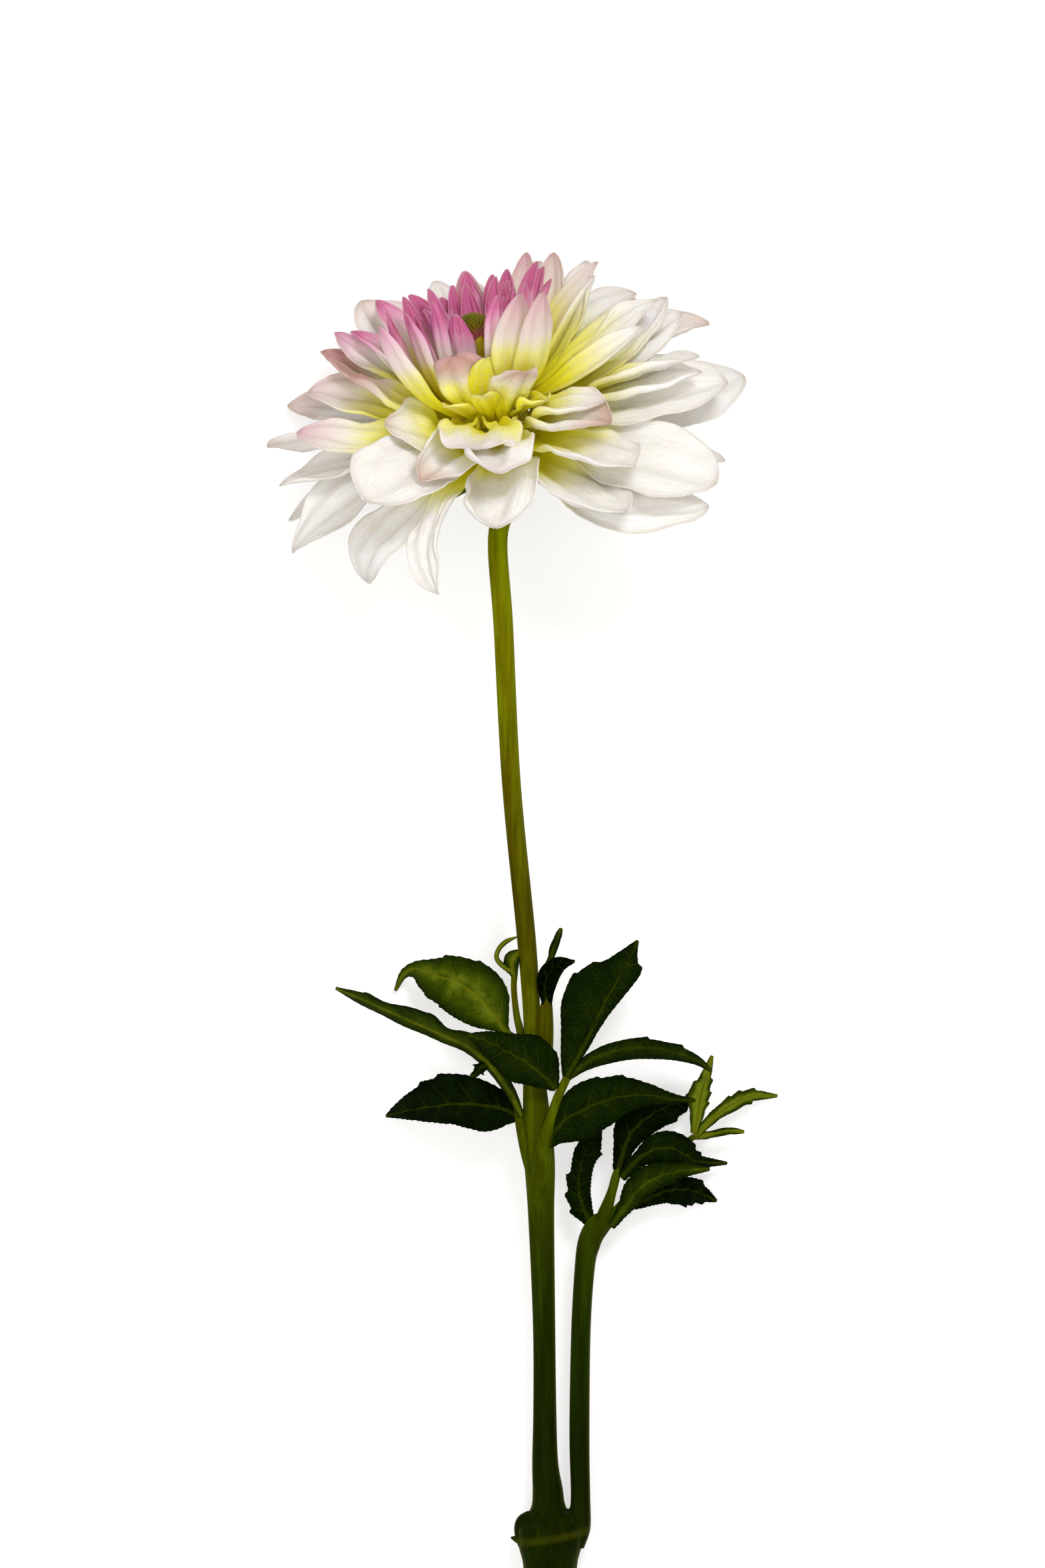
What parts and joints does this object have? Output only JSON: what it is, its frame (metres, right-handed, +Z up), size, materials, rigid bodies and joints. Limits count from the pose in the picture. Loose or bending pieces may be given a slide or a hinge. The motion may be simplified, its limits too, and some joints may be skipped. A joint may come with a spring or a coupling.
{
  "type": "cut dahlia stem",
  "caption": "Cut dahlia laid on its side: one wide white and pink double bloom on a long stem with toothed compound leaves and a leafy side shoot.",
  "frame": {"origin": "middle of the lying flower's bounding box, on the surface it lies on", "axes": "+Y along the stem towards the bloom, +Z up from the surface, +X to the right when looking down with the bloom at the top"},
  "size_m": [0.1389, 0.371, 0.0874],
  "materials": {
    "petal_white": "satin",
    "petal_blush": "satin",
    "floret_pink": "satin",
    "receptacle_green": "matte",
    "leaf_green": "satin",
    "stem_green": "satin"
  },
  "bodies": {
    "root": {"front_leaflet": "leaf_green", "inner_florets": "floret_pink", "left_leaflet_long": "leaf_green", "left_leaflet_lower": "leaf_green", "left_leaflet_upper": "leaf_green", "left_petiole": "stem_green", "left_sprig": "stem_green", "main_stem": "stem_green", "petal_row1_1": "petal_white", "petal_row1_2": "petal_white", "petal_row1_3": "petal_white", "petal_row1_4": "petal_white", "petal_row1_5": "petal_white", "petal_row1_6": "petal_white", "petal_row1_7": "petal_white", "petal_row1_8": "petal_white", "petal_row2_1": "petal_white", "petal_row2_2": "petal_white", "petal_row2_3": "petal_white", "petal_row2_4": "petal_white", "petal_row2_5": "petal_white", "petal_row2_6": "petal_white", "petal_row2_7": "petal_white", "petal_row2_8": "petal_white", "petal_row3_1": "petal_white", "petal_row3_2": "petal_white", "petal_row3_3": "petal_white", "petal_row3_4": "petal_white", "petal_row3_5": "petal_white", "petal_row3_6": "petal_white", "petal_row3_7": "petal_white", "petal_row4_1": "petal_blush", "petal_row4_2": "petal_blush", "petal_row4_3": "petal_blush", "petal_row4_4": "petal_blush", "petal_row4_5": "petal_blush", "petal_row4_6": "petal_blush", "petal_row5_1": "petal_blush", "petal_row5_2": "petal_blush", "petal_row5_3": "petal_blush", "petal_row5_4": "petal_blush", "petal_row5_5": "petal_blush", "petal_row5_6": "petal_blush", "receptacle": "receptacle_green", "right_leaflet_lower": "leaf_green", "right_leaflet_middle": "leaf_green", "right_leaflet_upper": "leaf_green", "right_petiole": "stem_green", "right_sprig": "stem_green", "right_sprig_leaf": "leaf_green", "side_end_leaf": "leaf_green", "side_leaf_inner": "leaf_green", "side_leaf_long": "leaf_green", "side_leaf_lower": "leaf_green", "side_leaf_top": "leaf_green", "side_leaf_upper": "leaf_green", "side_petiole_lower": "stem_green", "side_petiole_upper": "stem_green", "side_shoot": "stem_green", "side_tip_leaf": "leaf_green"}
  },
  "joints": []
}
